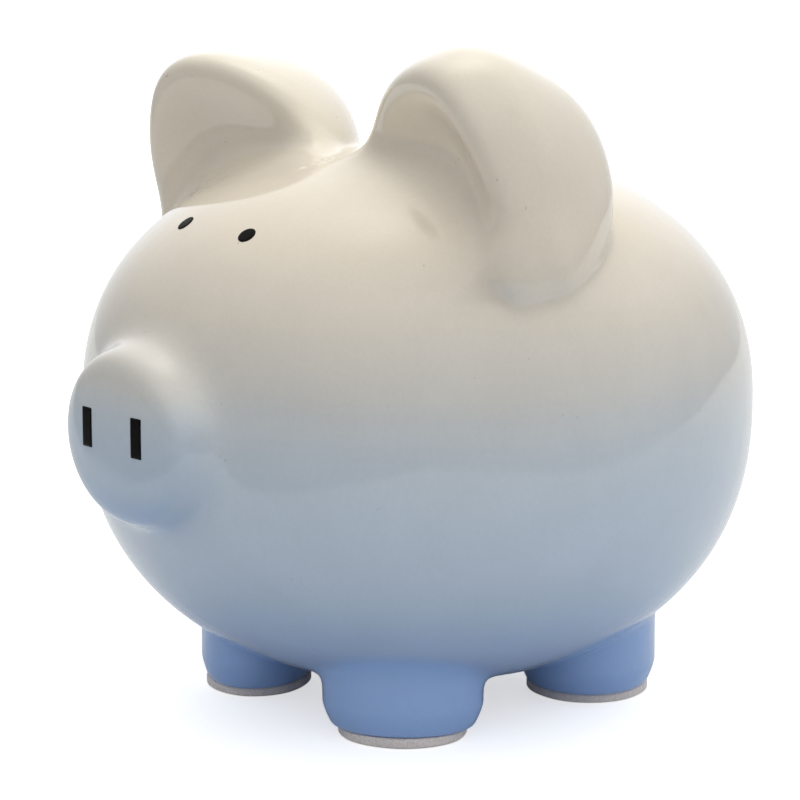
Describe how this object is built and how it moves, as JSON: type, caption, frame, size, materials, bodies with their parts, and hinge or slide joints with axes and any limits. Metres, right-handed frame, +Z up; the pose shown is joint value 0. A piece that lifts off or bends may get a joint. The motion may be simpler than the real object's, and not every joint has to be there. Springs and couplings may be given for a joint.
{
  "type": "piggy bank",
  "caption": "Round glazed ceramic pig-shaped coin bank on short padded feet, with a coin slot in its back and a pull-out rubber stopper in its belly.",
  "frame": {"origin": "middle of the bounding box at floor level, straight below the middle of the round body", "axes": "+Z up, the pig faces -Y, its own left side is +X"},
  "size_m": [0.1778, 0.1946, 0.1725],
  "materials": {
    "white_glaze": "high gloss",
    "blue_glaze": "high gloss",
    "foot_pad": "matte",
    "black_mark": "gloss",
    "stopper_rubber": "satin"
  },
  "bodies": {
    "bank": {"body_shell": "white_glaze", "snout": "white_glaze", "ear_left": "white_glaze", "ear_right": "white_glaze", "foot_front_left": "blue_glaze", "foot_front_right": "blue_glaze", "foot_rear_left": "blue_glaze", "foot_rear_right": "blue_glaze", "pad_front_left": "foot_pad", "pad_front_right": "foot_pad", "pad_rear_left": "foot_pad", "pad_rear_right": "foot_pad", "tail": "white_glaze", "eye_left": "black_mark", "eye_right": "black_mark", "nostril_left": "black_mark", "nostril_right": "black_mark"},
    "stopper": {"belly_stopper": "stopper_rubber"}
  },
  "joints": [
    {"name": "stopper_pull", "type": "slide", "parent": "bank", "child": "stopper", "axis": [0, 0, -1], "range_m": [0, 0.0095]}
  ]
}
